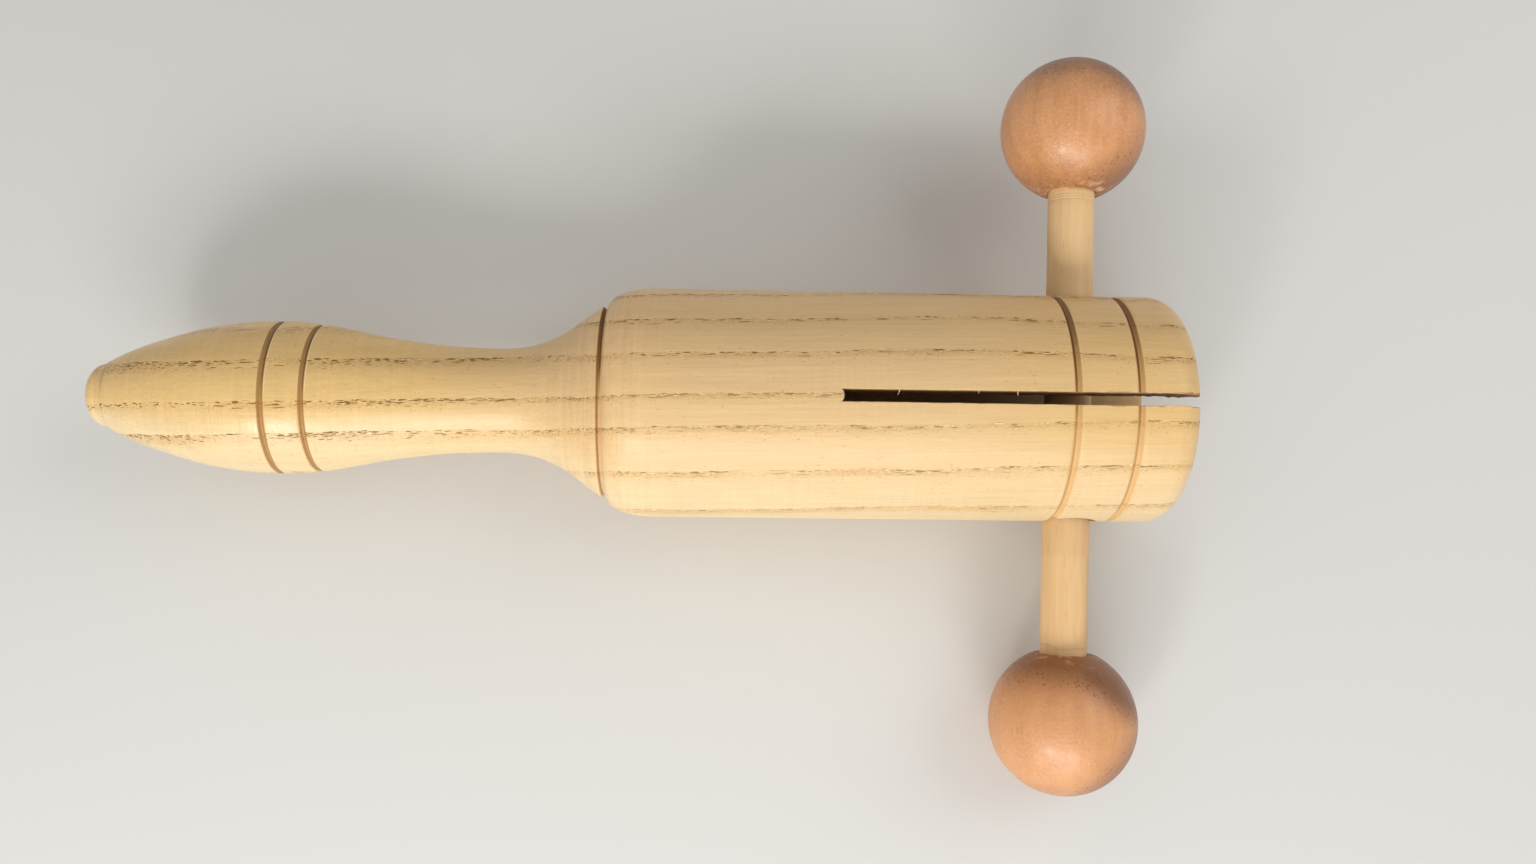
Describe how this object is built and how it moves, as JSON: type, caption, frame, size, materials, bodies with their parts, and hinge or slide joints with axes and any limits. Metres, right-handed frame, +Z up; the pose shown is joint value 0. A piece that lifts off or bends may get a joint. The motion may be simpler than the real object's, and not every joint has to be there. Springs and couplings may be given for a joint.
{
  "type": "tone block",
  "caption": "Turned wooden hand tone block: a handle, a hollow slotted head and a loose cross rod that slides so that its ball ends strike the head.",
  "frame": {"origin": "on the turned axis of the body, where the head's shoulder reaches its full diameter", "axes": "+X along the body from the handle to the open mouth, +Y towards the raised ball, +Z up; the head lies on the table 19.5 mm below the origin and the resting ball touches it too"},
  "size_m": [0.1839, 0.1268, 0.039],
  "materials": {
    "body_ash": "pale ring-porous wood, satin lacquer",
    "rod_dowel": "pale straight-grained dowel, thin satin lacquer",
    "ball_wood": "close-grained orange-tan wood, satin lacquer"
  },
  "bodies": {
    "body": {"turned_body": "body_ash"},
    "beater": {"beater_rod": "rod_dowel", "beater_ball_raised": "ball_wood", "beater_ball_resting": "ball_wood"}
  },
  "joints": [
    {"name": "beater_slide", "type": "slide", "parent": "body", "child": "beater", "axis": [0.0227, 0.9911, 0.1308], "range_m": [-0.018, 0.0223]}
  ]
}
